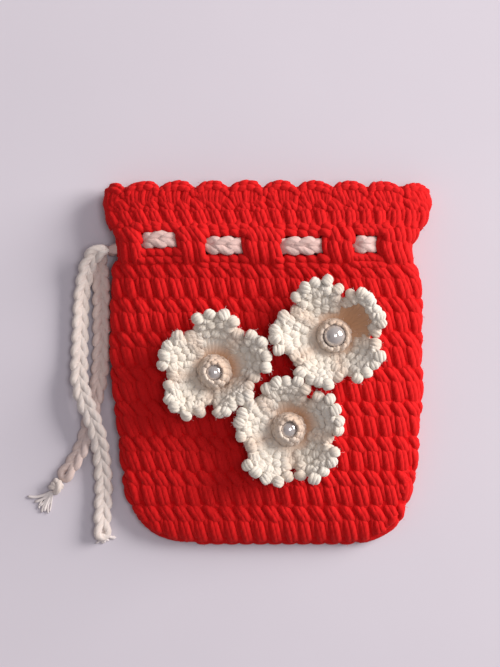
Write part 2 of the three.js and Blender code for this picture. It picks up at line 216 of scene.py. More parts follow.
# The tints of the cream and the cord yarns are painted shade and bounce light.
cream_yarn = yarn_material("spun_acrylic_cream", "#d0cec9", "#d9c9b3", "#ffffff", painted_shade_tint="#c08f69")
cord_yarn = yarn_material("spun_acrylic_cord", "#dfd8d4", "#d9c6b7", "#ffffff", painted_shade_tint="#c4847b")
# Loose fibres and plies are lighter copies of the yarns they come from, a painted light on the thin hairs.
loose_fibres_painted_light = yarn_material("loose_acrylic_fibres_painted_light", "#f2e9e5", "#e4d8d2", "#ffffff", ridge=0.04 * MM)
red_fibres_painted_light = yarn_material("loose_acrylic_red_fibres", "#dc2020", "#cc1616", "#ff8a80", ridge=0.04 * MM)
print("yarns:", red_yarn.name, cream_yarn.name, cord_yarn.name)

# %% [markdown]
# Behind the strands the fabric is closed by the yarn that runs on its inner side. It shows only as the
# dark red between two stitches and on the inside of the mouth, so it is one wall with a knobbly bump.

# %% Inner wall material
def inner_wall_material():
    """The back of double crochet, a felted red with bumps one stitch wide."""
    material, tree = new_material("crochet_inner_side")
    place = add(tree, "ShaderNodeTexCoord").outputs["Object"]
    lumps = add(tree, "ShaderNodeTexVoronoi", {"Vector": place, "Scale": 1 / (3.4 * MM)})
    felt = noise(tree, place, 0.5 * MM, 3.0)
    bump = add(tree, "ShaderNodeBump", {"Height": blend(tree, 0.2, lumps.outputs["Distance"], felt),
                                        "Distance": 0.9 * MM, "Strength": 0.7}, invert=True)
    return finished(material, tree, {
        "Base Color": blend(tree, felt, linear("#b6070c"), linear("#cf0b10"), "RGBA"), "Roughness": 0.95,
        "Specular IOR Level": 0.15, "Sheen Weight": 0.2, "Sheen Tint": linear("#ff5a55"),
        "Normal": bump.outputs["Normal"]})


inner_wall = inner_wall_material()

# %% [markdown]
# ## The bag as a surface
# Two numbers say where a point of the fabric is: q runs once round the bag, from 0 at the left fold over
# the front to 2 at the right fold and back behind to 4, and height runs from the closed bottom to the
# mouth. The section table gives the width, depth and squareness at each height, as in the part's source.

# %% Sizes of the bag, in millimetres
MOUTH_WIDTH = 98.4
BAG_DEPTH = 10.6
WALL = 2.6
BOTTOM_ROUND = 12.1
BODY_ROUND = 10.3
BODY_ROUNDS = 7
EYELET_ROUND = 10.8
TOP_ROUND = 8.7
SHELL_ROUND = 6
SHELLS = 19
FOLD_SHARE = 0.38
BACK_SQUARENESS = 5
PRESSED_FLAT = 1.02  # over 1, so that the middle of the back is truly flat
CORD_WIDTH = 5.6
CORD_THICKNESS = 2.9
POST_LIFT = 1
GAP = 0.3
STITCH = 4.5  # from one double crochet to the next

BAG_HEIGHT = BOTTOM_ROUND + BODY_ROUND * BODY_ROUNDS + EYELET_ROUND + TOP_ROUND + SHELL_ROUND
BAG_BOTTOM = -BAG_HEIGHT / 2
HALF_MOUTH = MOUTH_WIDTH / 2
EYELET_BASE = BOTTOM_ROUND + BODY_ROUND * BODY_ROUNDS
TOP_LOW = EYELET_BASE + EYELET_ROUND
CORD_LINE = BAG_BOTTOM + EYELET_BASE + EYELET_ROUND * 0.48

SECTION_COLUMNS = ("up", "left", "right", "deep", "square")
SECTIONS = np.array([
    (0.000, 0.400, 0.500, 0.26, 2.6),
    (0.014, 0.560, 0.630, 0.44, 2.6),
    (0.036, 0.690, 0.720, 0.56, 2.6),
    (0.060, 0.775, 0.800, 0.65, 2.7),
    (0.100, 0.830, 0.850, 0.75, 2.7),
    (0.145, 0.872, 0.888, 0.84, 2.8),
    (0.220, 0.895, 0.915, 0.92, 2.8),
    (0.320, 0.920, 0.935, 0.98, 2.8),
    (0.420, 0.945, 0.950, 1.00, 2.8),
    (0.520, 0.962, 0.945, 1.00, 2.8),
    (0.630, 0.965, 0.950, 0.99, 2.9),
    (0.720, 0.955, 0.940, 1.03, 3.2),
    (0.765, 0.950, 0.905, 1.12, 3.6),
    (0.810, 0.935, 0.878, 1.22, 4.0),
    (0.845, 0.950, 0.912, 1.21, 4.0),
    (0.890, 0.985, 0.975, 1.14, 3.6),
    (0.935, 1.000, 1.000, 1.09, 3.3),
    (0.965, 0.985, 0.975, 1.06, 3.2),
    (1.000, 0.940, 0.940, 1.04, 3.2),
])
# Eyelets on the front and the back: where across as a share of half the mouth, how wide in millimetres,
# and how far the cord runs above its line there.
EYELETS = np.array([(-0.65, 11.4, 2.1), (-0.26, 11.6, 0.1), (0.198, 12.0, 0.0), (0.588, 9.6, 0.5)])
# The stitches beside an eyelet stand back from it, or lean over it, by half of this many millimetres.
EYELET_EASE = np.array([0.2, 1.0, 2.0, -1.6])
SLIT = (-0.94, -0.9)
TURN = (0.8, 0.6)
print("bag:", MOUTH_WIDTH, "by", round(BAG_HEIGHT, 1), "mm")

# %% The bag's surface
def smooth(t):
    """0 below 0, 1 above 1, and t squared times (3 - 2t) between."""
    c = np.clip(t, 0, 1)
    return c * c * (3 - 2 * c)


def section_value(column, up):
    """A column of the section table at a share of the height: on each span the cubic that has the table's
    values at both ends and, as its slopes, the slopes between the neighbours."""
    ups = SECTIONS[:, 0]
    values = SECTIONS[:, SECTION_COLUMNS.index(column)]
    before = np.maximum(np.arange(len(ups)) - 1, 0)
    after = np.minimum(np.arange(len(ups)) + 1, len(ups) - 1)
    slopes = (values[after] - values[before]) / (ups[after] - ups[before])
    row = np.clip(np.searchsorted(ups, up) - 1, 0, len(ups) - 2)
    span = ups[row + 1] - ups[row]
    t = np.clip((up - ups[row]) / span, 0, 1)
    return ((2 * t**3 - 3 * t**2 + 1) * values[row] + (t**3 - 2 * t**2 + t) * span * slopes[row]
            + (3 * t**2 - 2 * t**3) * values[row + 1] + (t**3 - t**2) * span * slopes[row + 1])


def half_share(side, up):
    """Half the bag's width at a share of its height, as a share of half the mouth. The sign of side says
    which half."""
    return np.where(side < 0, section_value("left", up), section_value("right", up))


def front_q(across):
    """q on the front for a place from -1 at the left fold to 1 at the right one."""
    return 2 / np.pi * np.arccos(-np.clip(across, -1, 1))


def at_eyelet(x, soft=2.4, short=0.0, ease=np.zeros(4)):
    """1 at an eyelet and 0 between two, changing smoothly over soft millimetres."""
    near = [smooth(((wide + more) / 2 - short + soft / 2 - np.abs(x - share * HALF_MOUTH)) / soft)
            for (share, wide, _), more in zip(EYELETS, ease)]
    return np.max(near, axis=0)


def cord_height(x):
    """Y of the drawstring across the bag: smooth steps between the slit, the eyelets and the turn."""
    stops = np.array([SLIT, *EYELETS[:, [0, 2]], TURN])
    share = x / HALF_MOUTH
    i = np.clip(np.searchsorted(stops[:, 0], share) - 1, 0, len(stops) - 2)
    t = smooth((share - stops[i, 0]) / (stops[i + 1, 0] - stops[i, 0]))
    return CORD_LINE + stops[i, 1] * (1 - t) + stops[i + 1, 1] * t


def wall_point(q, height, inset):
    """Point of the bag's wall, inset millimetres inside its skin. Across the bag it is minus the cosine of
    a quarter turn times q. The front rises from the fold as a superellipse with the table's squareness,
    and the back drops to the table as a squarer one."""
    up = height / BAG_HEIGHT
    across = -np.cos(np.pi * q / 2)
    on_front = np.mod(q, 4) < 2
    half = half_share(across, up) * HALF_MOUTH
    deep = section_value("deep", up) * BAG_DEPTH
    fold = deep * FOLD_SHARE
    inset = np.minimum(inset, 0.7 * fold)
    x = across * (half - inset)
    y = BAG_BOTTOM + height + 0 * x
    square = section_value("square", up)
    crown = np.maximum(1 - np.abs(across) ** square, 0) ** (1 / square)
    flat = np.maximum(1 - np.abs(across) ** BACK_SQUARENESS, 0) ** (1 / BACK_SQUARENESS)
    over_cord = smooth(1.6 - np.abs(y - cord_height(x)) / (CORD_WIDTH / 2 + 1.4))
    lift = POST_LIFT * over_cord * (1 - at_eyelet(x)) * smooth((1 - np.abs(across)) * 9)
    front = fold + (deep - fold - inset) * crown + lift
    back = fold - (fold - inset) * np.minimum(PRESSED_FLAT * flat, 1)
    return np.stack([x, y, np.where(on_front, front, back)], axis=-1)


def unit(v):
    """Vectors of length 1 in the same directions."""
    return v / np.maximum(np.linalg.norm(v, axis=-1, keepdims=True), 1e-9)


def fabric(q, height):
    """Middle of the fabric and its outward direction, the cross product of its two slopes."""
    step_q, step_up = 0.004, 0.25
    round_way = wall_point(q + step_q, height, WALL / 2) - wall_point(q - step_q, height, WALL / 2)
    up_way = wall_point(q, height + step_up, WALL / 2) - wall_point(q, height - step_up, WALL / 2)
    return wall_point(q, height, WALL / 2), unit(np.cross(round_way, up_way))

# %% [markdown]
# ## From chosen points to strands of yarn
# A strand is a handful of chosen points: beside its stitch, up the round, and out of the fabric. A smooth
# curve goes through them and a tube follows it, slightly flattened as yarn under tension is. All strands
# of one kind are worked out together as arrays, and the tubes close to a point at both ends, which lie
# hidden inside the fabric.

# %% Faces of a grid
def closed_grid(rows, columns):
    """Faces of a tube of corners, row after row, and of its two pointed ends, whose corners come last."""
    i = np.arange(rows - 1)[:, None] * columns
    k = np.arange(columns)
    after = (k + 1) % columns
    top = (rows - 1) * columns
    quads = np.stack([i + k, i + columns + k, i + columns + after, i + after], axis=-1).reshape(-1, 4)
    low = np.stack([np.full(columns, rows * columns), k, after], axis=-1)
    high = np.stack([np.full(columns, rows * columns + 1), top + after, top + k], axis=-1)
    return quads, low, high


def flipped(faces):
    """The same faces, looking to the other side."""
    return np.concatenate([faces[:, :1], faces[:, :0:-1]], axis=1)

# %% Curves and tubes
def smooth_route(points, per_span=3):
    """Curve through chosen points. On each span it is the cubic that meets both points, with half the
    step between their neighbours as its slopes."""
    first = 2 * points[..., :1, :] - points[..., 1:2, :]
    last = 2 * points[..., -1:, :] - points[..., -2:-1, :]
    p = np.concatenate([first, points, last], axis=-2)
    a, b, c, d = (p[..., i:p.shape[-2] - 3 + i, None, :] for i in range(4))
    t = (np.arange(per_span) / per_span)[:, None]
    curve = b + 0.5 * t * (c - a + t * (2 * a - 5 * b + 4 * c - d + t * (3 * b - a - 3 * c + d)))
    curve = curve.reshape(*points.shape[:-2], -1, points.shape[-1])
    return np.concatenate([curve, points[..., -1:, :]], axis=-2)


def tubes(points, outward, width, depth, sides=8, per_span=3, painted_shade_share=None):
    """Closed tubes round many curves. A section is side times the cosine and lift times the sine of the
    angle round it, where side is square to the curve and to outward. Near each end it shrinks as the end
    of an ellipse does, to one point."""
    route = smooth_route(points, per_span)
    reference = smooth_route(np.broadcast_to(outward, points.shape), per_span)
    along = unit(np.gradient(route, axis=1))
    side = unit(np.cross(along, reference))
    lift = np.cross(side, along)
    steps = np.linalg.norm(np.diff(route, axis=1), axis=-1)
    length = np.concatenate([np.zeros((len(route), 1)), np.cumsum(steps, axis=1)], axis=1)
    to_end = np.minimum(length, length[:, -1:] - length)
    shrink = np.sqrt(1 - (1 - np.clip(to_end / (0.5 * width), 0, 1)) ** 2)[..., None, None]
    angle = 2 * np.pi * np.arange(sides) / sides
    ring = (side[:, :, None] * (np.cos(angle)[:, None] * width / 2)
            + lift[:, :, None] * (np.sin(angle)[:, None] * depth / 2))
    skin = (route[:, :, None] + ring * shrink)[:, 1:-1]
    count, rings = skin.shape[:2]
    corners = rings * sides + 2
    vertices = np.concatenate([skin.reshape(count, -1, 3), route[:, [0, -1]]], axis=1).reshape(-1, 3)
    start = (np.arange(count) * corners)[:, None, None]
    quads, low, high = closed_grid(rings, sides)
    before, after = np.arange(sides) / sides, np.arange(1, sides + 1) / sides
    u = length[:, 1:-1]
    quad_u = np.stack([u[:, :-1], u[:, 1:], u[:, 1:], u[:, :-1]], axis=-1)[:, :, None].repeat(sides, axis=2)
    quad_v = np.broadcast_to(np.stack([before, before, after, after], axis=-1), quad_u.shape)
    cap_u = length[:, [0, -1]].repeat(sides, axis=1)[..., None].repeat(3, axis=-1)
    cap_v = np.stack([(before + after) / 2, before, after], axis=-1)
    cap_v = np.broadcast_to(np.concatenate([cap_v, flipped(cap_v)]), cap_u.shape)
    # Each tube's share of the painted shade and bounce tint, for the depth attribute
    shares = np.zeros(len(vertices)) if painted_shade_share is None else np.repeat(painted_shade_share, corners)
    return {"vertices": vertices, "depth": shares,
            "quads": (start + quads).reshape(-1, 4),
            "triangles": (start + np.concatenate([low, high])).reshape(-1, 3),
            "quad_uv": np.stack([quad_u, quad_v], axis=-1).reshape(-1, 2),
            "cap_uv": np.stack([cap_u, cap_v], axis=-1).reshape(-1, 2)}


PRESSED = 0.03 * MM  # the yarn that the pouch lies on is flat at this height


def mesh_piece(name, vertices, faces, material, stands_for=None, uv=None, depth=None):
    """One smooth object from corners in metres and arrays of faces. Yarn has a UV map and a depth
    attribute, its share of painted shade and bounce tint.
    """
    mesh = bpy.data.meshes.new(name)
    mesh.from_pydata(vertices, [], [face for group in faces for face in group.tolist()])
    if depth is not None:
        layer = mesh.uv_layers.new(name="yarn")
        if uv is not None:
            layer.data.foreach_set("uv", uv.ravel())
        mesh.attributes.new("depth", "FLOAT", "POINT").data.foreach_set("value", depth)
    mesh.polygons.foreach_set("use_smooth", np.ones(len(mesh.polygons), bool))
    mesh.materials.append(material)
    piece = new_object(name, mesh)
    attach(piece, "root")
    if stands_for:
        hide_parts(stands_for)
    return piece


def yarn_piece(name, parts, material, stands_for=None):
    """One object from many tubes."""
    starts = np.cumsum([0] + [len(p["vertices"]) for p in parts[:-1]])
    vertices = np.concatenate([p["vertices"] for p in parts]) * MM
    vertices[:, 2] = np.maximum(vertices[:, 2], PRESSED)
    faces = [np.concatenate([p[kind] + start for p, start in zip(parts, starts)])
             for kind in ("quads", "triangles")]
    uv = np.concatenate([p[kind] for kind in ("quad_uv", "cap_uv") for p in parts])
    print(name, 2 * len(faces[0]) + len(faces[1]), "triangles")
    return mesh_piece(name, vertices, faces, material, stands_for, uv,
                      np.concatenate([p["depth"] for p in parts]))


def thicken(sheet, thickness):
    """Makes a sheet so many millimetres thick, half of it to each side."""
    solid = sheet.modifiers.new("thickness", "SOLIDIFY")
    solid.thickness = thickness * MM
    solid.offset = 0


FIBRE_LENGTH = 1.7
FIBRE_WIDTH = 0.07


def fuzz(name, pieces, count, material, stands_for=None):
    """Loose fibres on pieces of yarn, so many on each: thin hairs that start just under the skin at random
    corners of the mesh, lean at random from the skin's normal and curl over towards their end."""
    parts = []
    t = np.array([-0.1, 0.25, 0.6, 1.0])[:, None]
    for piece in pieces:
        corners = len(piece.data.vertices)
        place, normal = np.empty(3 * corners), np.empty(3 * corners)
        piece.data.vertices.foreach_get("co", place)
        piece.data.vertices.foreach_get("normal", normal)
        picked = rng.choice(corners, count, replace=False)
        root = place.reshape(-1, 3)[picked] / MM
        way = unit(normal.reshape(-1, 3)[picked] + rng.normal(0, 0.45, (count, 3)))
        curl = np.cross(way, unit(rng.normal(0, 1, (count, 3))))
        length = (FIBRE_LENGTH * rng.uniform(0.5, 1.1, count))[:, None, None]
        hairs = root[:, None] + length * (t * (1 - 0.35 * t) * way[:, None] + 0.45 * t**2 * curl[:, None])
        parts.append(tubes(hairs, curl[:, None], FIBRE_WIDTH, FIBRE_WIDTH, 3, 1))
    return yarn_piece(name, parts, material, stands_for)

# %% [markdown]
# ## The rounds of double crochet
# Seen from the right side, a double crochet is a tall plump strand that leans to the left, and above it a
# short one that leans more and ends over its left neighbour. Along the top of each round runs the
# chain of V loops that the next round is worked into. Stitches keep their pitch, so the number in a round
# follows from the distance round the bag there.

# %% Places round the bag
def round_length(height):
    """For the fabric at a height: values of q and the distance round the bag up to each of them."""
    q = np.linspace(0, 4, 2001)
    line = wall_point(q, np.full_like(q, height), WALL / 2)
    steps = np.linalg.norm(np.diff(line, axis=0), axis=1)
    return q, np.concatenate([[0], np.cumsum(steps)])


UPRIGHT_REACH = 0.96  # share of the bag's width at a height that an upright stitch may reach
BESIDE_FOLD = 0.09  # share of the half width over which stitches turn to follow the fold


def kept_upright(q, height, level):
    """The same places with each stitch upright where the bag narrows to its bottom corners. A point keeps
    the x that its q has at the given level, and rises to where the bag is wide enough for that x. Close to
    the folds the stitches follow the fold instead."""
    across = -np.cos(np.pi * q / 2)
    x = across * half_share(across, level / BAG_HEIGHT)
    heights = np.linspace(0, level, 40)
    lowest = [np.interp(np.abs(x) / UPRIGHT_REACH, section_value(side, heights / BAG_HEIGHT), heights)
              for side in ("left", "right")]
    raised = np.maximum(height, np.where(x < 0, *lowest))
    turned = front_q(x / half_share(x, raised / BAG_HEIGHT))
    turned = np.where(np.mod(q, 4) < 2, turned, 4 - turned)
    share = smooth((1 - np.abs(across)) / BESIDE_FOLD)
    return q + (turned - q) * share, height + (raised - height) * share


UNEVEN_LEAN = 0.1
UNEVEN_OUT = 0.08


def work(path, centres, strand, low, tall, tube, lean=1, out=1, loose=0.12, upright=False):
    """Tubes of one strand at many stitches: beside is in millimetres along the round, up is a share of the
    round's height above low, and out is in millimetres from the middle of the fabric."""
    q_values, distances = path
    beside, up, proud = strand.T
    shape = (len(centres), len(strand))
    slant = lean * rng.normal(1, UNEVEN_LEAN, (len(centres), 1))
    arc = centres[:, None] + slant * beside + rng.normal(0, loose, (len(centres), 1))
    height = low + up * tall + rng.normal(0, loose, (len(centres), 1)) + np.zeros(shape)
    q = np.interp(np.mod(arc, distances[-1]), distances, q_values)
    if upright:
        q, height = kept_upright(q, height, low + tall)
    base, outward = fabric(q, height)
    away = out * proud + rng.normal(0, UNEVEN_OUT, (len(centres), 1))
    return tubes(base + outward * away[..., None], outward, *tube)


# Columns: beside, up, out
LOWER_STRAND = np.array([(1.7, -0.04, -1.1), (1.5, 0.06, -0.1), (1.1, 0.22, 0.36), (0.55, 0.42, 0.36),
                         (0.0, 0.58, 0.0), (-0.4, 0.68, -1.0)])
UPPER_STRAND = np.array([(1.5, 0.52, -1.0), (1.1, 0.62, 0.05), (0.3, 0.75, 0.36), (-0.7, 0.87, 0.26),
                         (-1.5, 0.96, -0.2), (-2.1, 1.01, -1.0)])
SIDE_STRAND = np.array([(-0.2, 0.05, -1.0), (-0.9, 0.20, -0.25), (-1.7, 0.42, -0.05), (-2.1, 0.66, -0.2),
                        (-2.6, 0.86, -0.9)])
TOP_LOOP = np.array([(-2.9, 0.95, -1.1), (-1.6, 0.98, -0.45), (0.0, 1.01, -0.2), (1.5, 0.99, -0.4),
                     (2.6, 0.94, -1.1)])


RUN_APART = 0.5  # mm from the middle of a strand to each of its two runs of yarn
# Tubes of the strands. Columns: width, depth, sides, steps from point to point
RUN_TUBE = (2.4, 2.1, 8, 2)
SIDE_TUBE = (2.0, 1.9, 6, 2)
TOP_TUBE = (1.8, 1.7, 6, 2)


def double_crochet(path, centres, low, tall, upright=False):
    """The strands that show of double crochet stitches at the given places round the bag. Both strands are
    a loop of the yarn, so each is two runs side by side."""
    parts = []
    for strand in (LOWER_STRAND, UPPER_STRAND):
        for side in (-1, 1):
            run = strand + (RUN_APART * side, 0.012 * side, 0)
            parts.append(work(path, centres, run, low, tall, RUN_TUBE, loose=0.1, upright=upright))
    for strand, tube in ((SIDE_STRAND, SIDE_TUBE), (TOP_LOOP, TOP_TUBE)):
        parts.append(work(path, centres, strand, low, tall, tube, upright=upright))
    return parts


def stitch_places(path, shift=0.0):
    """Places of a round's stitches along it, shifted by a share of a stitch."""
    stitches = round(path[1][-1] / STITCH)
    return (np.arange(stitches) + 0.5 + shift) * path[1][-1] / stitches

# %% Body rounds
NARROW_ROUNDS = 2  # the lowest rounds, where the bag narrows
ROUND_SHIFT = 0.13  # stitches from each round to the next
BOTTOM_EDGE = 1.1

# The foundation chain closes the bottom.
foundation = np.linspace(-19, 24, 11)
chain_place = np.stack([foundation, np.full(11, BAG_BOTTOM + BOTTOM_EDGE), np.full(11, 1.4)], axis=-1)
chain_way = np.array([(-2.6, 0.5, 0), (-1.2, -0.1, 0), (0.6, -0.1, 0), (2.4, 0.5, 0)])
strands = [tubes(chain_place[:, None] + chain_way, UP, 2.2, 2.2)]
red_pieces = []
low = BOTTOM_EDGE
for number in range(BODY_ROUNDS + 1):
    high = BOTTOM_ROUND + number * BODY_ROUND
    narrows = number < NARROW_ROUNDS
    path = round_length(high if narrows else (low + high) / 2)
    strands += double_crochet(path, stitch_places(path, ROUND_SHIFT * number), low, high - low, narrows)
    red_pieces.append(yarn_piece(f"body_round_{number + 1}", strands, red_yarn, "pouch_body"))
    strands = []
    low = high

# %% [markdown]
# ## The eyelet round
# Here pairs of stitches alternate with spaces, and the cord passes through the spaces. The posts go over
# it, and above and below each space run the loops of the neighbouring rounds.

# %% Eyelet round
def arc_at(path, x, side, height):
    """Distance round the bag of a place x across its front (side 1) or back (side -1)."""
    q = front_q(x / (half_share(x, height / BAG_HEIGHT) * HALF_MOUTH - WALL / 2))
    return np.interp(q if side > 0 else 4 - q, *path)


# Columns: beside, up in millimetres, out
LIP = np.array([(1.7, -0.8, -0.9), (1.1, -0.35, 0.15), (0.1, 0.1, 0.45), (-0.9, 0.35, 0.15),
                (-1.7, 0.6, -0.9)])
LIP_TUBE = (2.5, 2.1, 8)
EYELET_MIDDLE = EYELET_BASE + EYELET_ROUND / 2
HALF_SLIT = 3.6
POST = 3.7  # from one stitch between two eyelets to the next
LIP_AWAY = 1.0  # from the cord's edge to the middle of the loops along it
SECOND_LIP = 1.9  # from these to the row below

eyelet_path = round_length(EYELET_MIDDLE)
spaces = [(-HALF_SLIT, HALF_SLIT)]
for side in (1, -1):
    for share, wide in zip(EYELETS[::side, 0], (EYELETS[:, 1] + EYELET_EASE)[::side]):
        spaces.append([arc_at(eyelet_path, share * HALF_MOUTH + end * side * wide / 2, side, EYELET_MIDDLE)
                       for end in (-1, 1)])
spaces.append((eyelet_path[1][-1] - HALF_SLIT, eyelet_path[1][-1]))
posts = []
for (_, start), (end, _) in zip(spaces[:-1], spaces[1:]):
    number = max(1, round((end - start) / POST))
    posts.extend(start + (np.arange(number) + 0.5) * (end - start) / number)
posts = np.array(posts)

eyelet = double_crochet(eyelet_path, posts, EYELET_BASE, EYELET_ROUND)
for side in (1, -1):
    for (share, wide, up), ease in zip(EYELETS, EYELET_EASE):
        x = share * HALF_MOUTH + np.linspace(-0.5, 0.5, 5) * (wide + ease - 1)
        places = np.array([arc_at(eyelet_path, value, side, EYELET_MIDDLE) for value in x])
        below = CORD_LINE + up - CORD_WIDTH / 2 - LIP_AWAY - BAG_BOTTOM
        above = CORD_LINE + up + CORD_WIDTH / 2 + LIP_AWAY - BAG_BOTTOM
        # The loops run right under and over the cord, and a second row fills what is left of the space.
        for height in (below, min(below - SECOND_LIP, EYELET_BASE + 1.2), above, TOP_LOW - 0.3):
            eyelet.append(work(eyelet_path, places, LIP, height, 1, LIP_TUBE))
red_pieces.append(yarn_piece("eyelet_round", eyelet, red_yarn, "pouch_body"))

# %% [markdown]
# ## The top round and the shells
# The top round is double crochet again. Its inner side can be seen in the open mouth, so it gets strands
# on both sides. The edging is a row of shells: five stitches worked into one place open like a fan, and
# their loops make the scallops.

# %% Top round
INNER_TUBE = (3.2, 2.4, 8, 2)
top_path = round_length(TOP_LOW + TOP_ROUND / 2)
centres = stitch_places(top_path)
top = double_crochet(top_path, centres, TOP_LOW, TOP_ROUND)
for strand in (LOWER_STRAND, UPPER_STRAND):
    top.append(work(top_path, centres, strand, TOP_LOW, TOP_ROUND, INNER_TUBE, lean=-1, out=-1))
red_pieces.append(yarn_piece("top_round", top, red_yarn, "pouch_body"))

# %% Shell edging
shell_low = BAG_HEIGHT - SHELL_ROUND
SHELL_LEVEL = shell_low + 2  # where the shells are spaced
BETWEEN_SHELLS = -1.2  # x of one dip of the edging, on the front
shell_path = round_length(SHELL_LEVEL)
pitch = shell_path[1][-1] / SHELLS
shell_centres = arc_at(shell_path, BETWEEN_SHELLS, 1, SHELL_LEVEL) + (np.arange(SHELLS) + 0.5) * pitch


def scallop(angles):
    """Height of the scallop's edge as a share of the round, for angles from the shell's middle."""
    return 0.35 + 0.51 * np.cos(angles)


def fan(degrees):
    """One stitch of a shell, leaning out from the shell's foot by so many degrees."""
    angle = np.radians(degrees)
    foot, reach = 0.36 * pitch * np.sin(angle), 0.42 * pitch * np.sin(angle)
    tip = scallop(angle)
    return np.array([(foot * 0.8 + 0.5, -0.36, -0.9), (foot * 0.9 + 0.4, -0.15, 0.2),
                     (foot + 0.1, 0.1, 0.45), (reach, 0.6 * tip, 0.35), (reach - 0.2, 0.85 * tip, -0.1),
                     (reach - 0.3, 0.95 * tip, -0.9)])


def fan_top(degrees, share, out):
    """A loop on top of a stitch of a shell. It follows the scallop's edge at a share of its height."""
    angles = np.radians(degrees + np.array([-21, -12, 0, 12, 21]))
    return np.stack([0.46 * pitch * np.sin(angles), share * scallop(angles) + 0.02 * np.arange(-2, 3),
                     out + np.array([-0.9, -0.1, 0.2, -0.1, -0.9])], axis=-1)


shell_q = np.interp(np.mod(shell_centres, shell_path[1][-1]), shell_path[1], shell_path[0])
at_back = np.mod(shell_q, 4) > 2
near_fold = np.abs(np.cos(np.pi * shell_q / 2)) ** 8
# At the folds the edging droops, and the one behind stays just below the one in front.
shell_low = (shell_low - 0.75 - 0.7 * near_fold - 1.2 * at_back * (1 - near_fold))[:, None]

FAN_TUBE = (2.2, 1.9, 7, 2)
EDGE_TUBE = (2.1, 2.1, 7, 2)
shells = []
for degrees in (-68, -34, 0, 34, 68):
    for run in (-0.4, 0.4):
        for side in (1, -1):
            shells.append(work(shell_path, shell_centres, fan(degrees) + (run, 0, 0), shell_low, SHELL_ROUND,
                               FAN_TUBE, out=side))
for degrees in (-75, -45, -15, 15, 45, 75):
    for share, out in ((0.97, 0.0), (0.74, 0.55), (0.74, -0.55)):
        shells.append(work(shell_path, shell_centres, fan_top(degrees, share, out), shell_low, SHELL_ROUND,
                           EDGE_TUBE))
red_pieces.append(yarn_piece("shell_edging", shells, red_yarn, "pouch_body"))

# %% [markdown]
# ## The wall behind the strands
# One thin wall follows the middle of the fabric, closed at the bottom, open at the mouth and pierced at
# the eyelets, so the pouch is truly hollow. It is a grid of q and height; the faces at the eyelets are
# left out, and Solidify gives it thickness and rims.

# %% Inner wall
WALL_COLUMNS = 220
WALL_ROWS = 76
# The rows start close together where the bottom is round, and end under the scallops.
heights = np.concatenate([[1.2, 2, 3, 4.5], np.linspace(6, BAG_HEIGHT - 3.4, WALL_ROWS)])
grid_q, grid_height = np.meshgrid(np.linspace(0, 4, WALL_COLUMNS + 1)[:-1], heights)
base, outward = fabric(grid_q, grid_height)
points = base - outward * np.minimum(0.3, 0.05 + 0.1 * grid_height)[..., None]
quads, bottom, _ = closed_grid(len(heights), WALL_COLUMNS)
quads = flipped(quads)
x, y, _ = points.reshape(-1, 3)[quads].mean(axis=1).T
at_cord = np.abs(y - cord_height(x)) < CORD_WIDTH / 2 + 0.3
open_here = at_cord & ((at_eyelet(x, soft=0.1, short=0.2, ease=EYELET_EASE) > 0.5) | (x < -HALF_MOUTH * 0.9))
wall = mesh_piece("inner_side", np.concatenate([points.reshape(-1, 3), [points[0].mean(axis=0)]]) * MM,
                  [quads[~open_here], flipped(bottom)], inner_wall, "pouch_body")
thicken(wall, 1.2)
print("inner wall:", len(wall.data.polygons), "faces")

# %% [markdown]
# ## The drawstring
# A crocheted chain: each loop comes up through the one before it, so from above it is a row of Vs, and a
# small bump runs along its underside. One link is a list of points in a box one link long, and the whole
# cord is that list repeated along its route.

# %% Chain stitches along a route
LINK = 4.1  # mm from one chain stitch to the next
CHAIN_YARN = 2.5
CHAIN_THICKNESS = 3.1
CHAIN_TUBE = (2.6, 2.2, 8, 2)
WOBBLE_OVER = 13  # mm of cord for a change of one radian in the wobble's phase
# Columns: along in links, across and above as shares of the free half width and half thickness
CHAIN_LINK = np.array([(0.08, 0.08, -0.2), (0.42, 0.34, 0.75), (0.80, 0.74, 1.0), (1.16, 1.05, 0.75),
                       (1.42, 0.8, 0.0), (1.52, 0.0, -0.3), (1.42, -0.8, 0.0), (1.16, -1.05, 0.75),
                       (0.80, -0.74, 1.0), (0.42, -0.34, 0.75), (0.08, -0.08, -0.2), (0.35, 0.0, -1.0),
                       (0.80, 0.0, -1.0)])


def even_route(points):
    """The smooth curve through a cord's points, with the distance along it and its directions."""
    route = smooth_route(np.asarray(points, float)[None], 16)[0]
    distance = np.concatenate([[0], np.cumsum(np.linalg.norm(np.diff(route, axis=0), axis=1))])
    return route, distance, unit(np.gradient(route, axis=0))


def at_distance(s, distance, values):
    """Columns of values at distances along a route."""
    return np.stack([np.interp(s, distance, column) for column in values.T], axis=-1)


